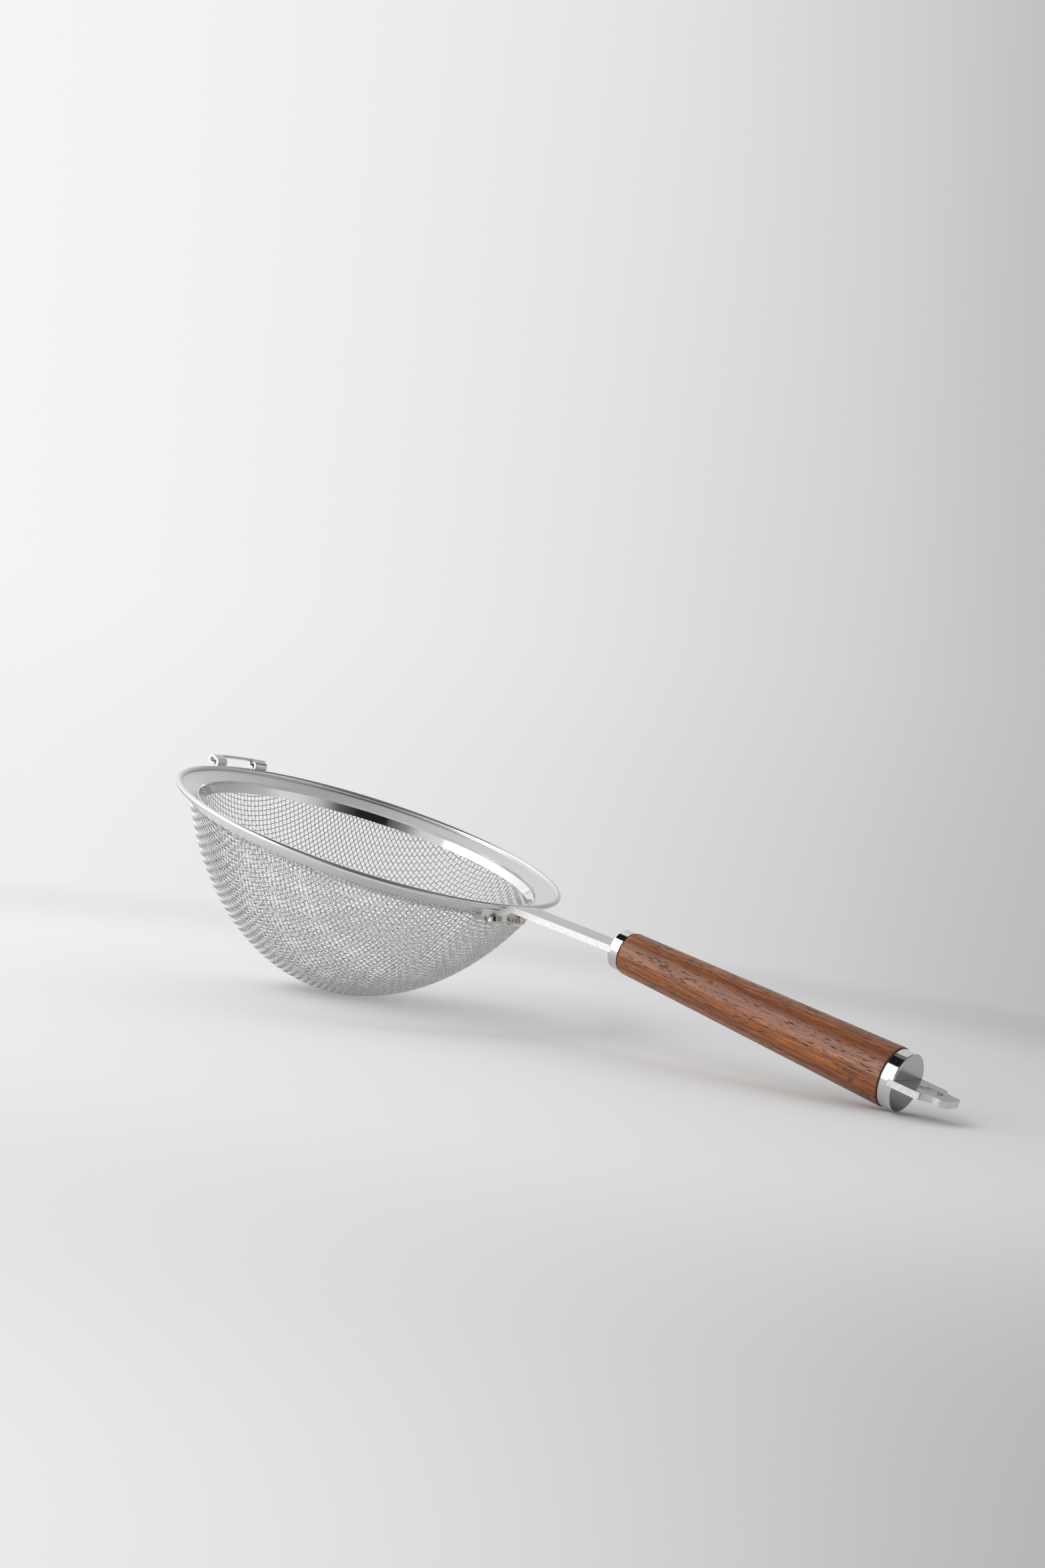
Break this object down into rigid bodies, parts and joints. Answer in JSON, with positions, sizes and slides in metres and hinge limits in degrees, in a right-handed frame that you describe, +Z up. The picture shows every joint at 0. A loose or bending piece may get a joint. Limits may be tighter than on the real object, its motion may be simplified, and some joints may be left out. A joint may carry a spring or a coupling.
{
  "type": "strainer",
  "caption": "Round bowl strainer of woven steel wire with a flanged rim, a rear rest hook and a tapered wooden grip with a hanging eye.",
  "frame": {"origin": "centre of the bounding box in X and Y, at floor level under the bowl, with the strainer lying on its bowl and end cap", "axes": "+X along the handle towards the hanging eye, +Z up, XZ is the plane of symmetry"},
  "size_m": [0.3476, 0.16, 0.0885],
  "materials": {
    "polished_steel": "polished",
    "satin_steel": "satin",
    "bright_edge_steel": "rough cut and bright",
    "woven_steel": "bright drawn wire",
    "walnut": "oiled, satin, open pores",
    "gasket": "matt"
  },
  "bodies": {
    "root": {"edge_bead": "polished_steel", "rim_flange": "satin_steel", "clamp_ring": "satin_steel", "inner_band": "polished_steel", "sieve_bowl": "woven_steel", "tang_plate": "satin_steel", "front_rivets": "polished_steel", "collar": "polished_steel", "wood_grip": "walnut", "cap_gasket": "gasket", "end_cap": "polished_steel", "hanging_eye": "bright_edge_steel", "rear_hook": "satin_steel", "hook_welds": "satin_steel"}
  },
  "joints": []
}
